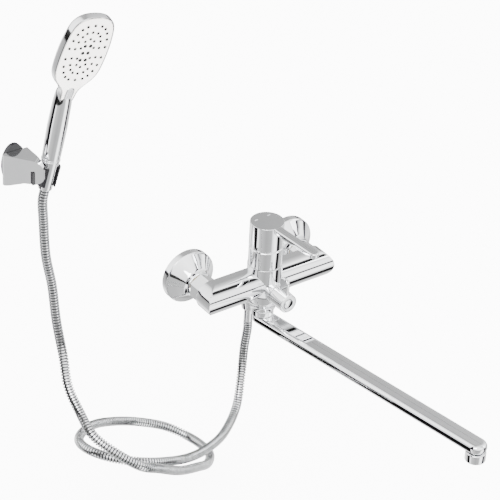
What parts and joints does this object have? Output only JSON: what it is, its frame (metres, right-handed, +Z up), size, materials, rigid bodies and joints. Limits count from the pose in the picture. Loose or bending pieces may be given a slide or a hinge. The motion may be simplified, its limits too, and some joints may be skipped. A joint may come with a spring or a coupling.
{
  "type": "wall mounted bath faucet",
  "caption": "Wall mounted bath faucet with a single lever, a long swivel spout, a diverter, and a shower hose with its handset and wall bracket.",
  "frame": {"origin": "on the wall, midway between the two inlets, where the wall holds the faucet", "axes": "+Y into the wall, +Z up, +X to the right seen from the room"},
  "size_m": [0.443, 0.4326, 0.651],
  "materials": {
    "chrome": "polished chrome plate",
    "brass": "turned brass",
    "steel": "stainless steel",
    "steel_hose": "double-lock stainless hose",
    "rubber": "matt black",
    "ceramic": "lapped ceramic",
    "white_plastic": "satin warm white",
    "grey_plastic": "moulded",
    "black_plastic": "fine satin"
  },
  "bodies": {
    "mixer": {"left_rosette": "chrome", "left_inlet_union": "brass", "left_union_nut": "chrome", "left_inlet_gasket": "rubber", "right_rosette": "chrome", "right_inlet_union": "brass", "right_union_nut": "chrome", "right_inlet_gasket": "rubber", "mixer_body": "chrome", "cartridge_base": "grey_plastic", "cartridge_housing": "grey_plastic", "fixed_ceramic_disc": "ceramic", "cartridge_nut": "brass", "cartridge_cover": "chrome", "diverter_housing": "brass", "spout_nut": "chrome", "shower_nipple": "brass", "check_valve": "grey_plastic", "hose_gasket": "rubber", "hose_ferrule": "chrome", "hose_nut": "chrome", "shower_hose": "steel_hose", "bracket_cup": "black_plastic", "bracket_body": "chrome", "bracket_wall_plate": "black_plastic", "bracket_screw_1": "steel", "bracket_screw_2": "steel"},
    "temperature": {"moving_ceramic_disc": "ceramic", "disc_carrier": "grey_plastic"},
    "lever": {"lever": "chrome", "lever_spindle": "brass", "lever_grub_screw": "steel", "lever_screw_plug": "grey_plastic"},
    "diverter": {"diverter_knob": "chrome", "diverter_spindle": "brass", "diverter_disc": "ceramic", "diverter_knob_screw": "steel", "diverter_index_cap": "chrome"},
    "spout": {"spout_tube": "chrome", "spout_upper_seal": "rubber", "spout_lower_seal": "rubber", "aerator_housing": "chrome", "aerator_insert": "white_plastic", "aerator_washer": "rubber"},
    "handset": {"handset_shell": "chrome", "spray_face": "white_plastic", "nozzle_mat": "rubber", "handset_inlet": "brass", "hose_cone_nut": "chrome", "handset_gasket": "rubber"},
    "spray_button": {"spray_button": "chrome"}
  },
  "joints": [
    {"name": "temperature_turn", "type": "hinge", "parent": "mixer", "child": "temperature", "pos_m": [0, -0.0614, 0.03], "axis": [0, 0, 1], "range_deg": [-50, 40]},
    {"name": "lever_lift", "type": "hinge", "parent": "temperature", "child": "lever", "pos_m": [0, -0.0614, 0.03], "axis": [-0.9962, -0.0872, 0], "range_deg": [0, 15]},
    {"name": "diverter_turn", "type": "hinge", "parent": "mixer", "child": "diverter", "pos_m": [0, -0.09, -0.006], "axis": [0, -1, 0], "range_deg": [-90, 0]},
    {"name": "spout_swivel", "type": "hinge", "parent": "mixer", "child": "spout", "pos_m": [0, -0.0614, -0.05], "axis": [0, 0, 1], "range_deg": [-75, 75]},
    {"name": "handset_lift", "type": "slide", "parent": "mixer", "child": "handset", "axis": [0.2113, 0, 0.9774], "range_m": [0, 0.07]},
    {"name": "spray_button_push", "type": "slide", "parent": "handset", "child": "spray_button", "axis": [0.0511, 0.9703, 0.2365], "range_m": [0, 0.0012], "stiffness_N_per_m": 400}
  ]
}
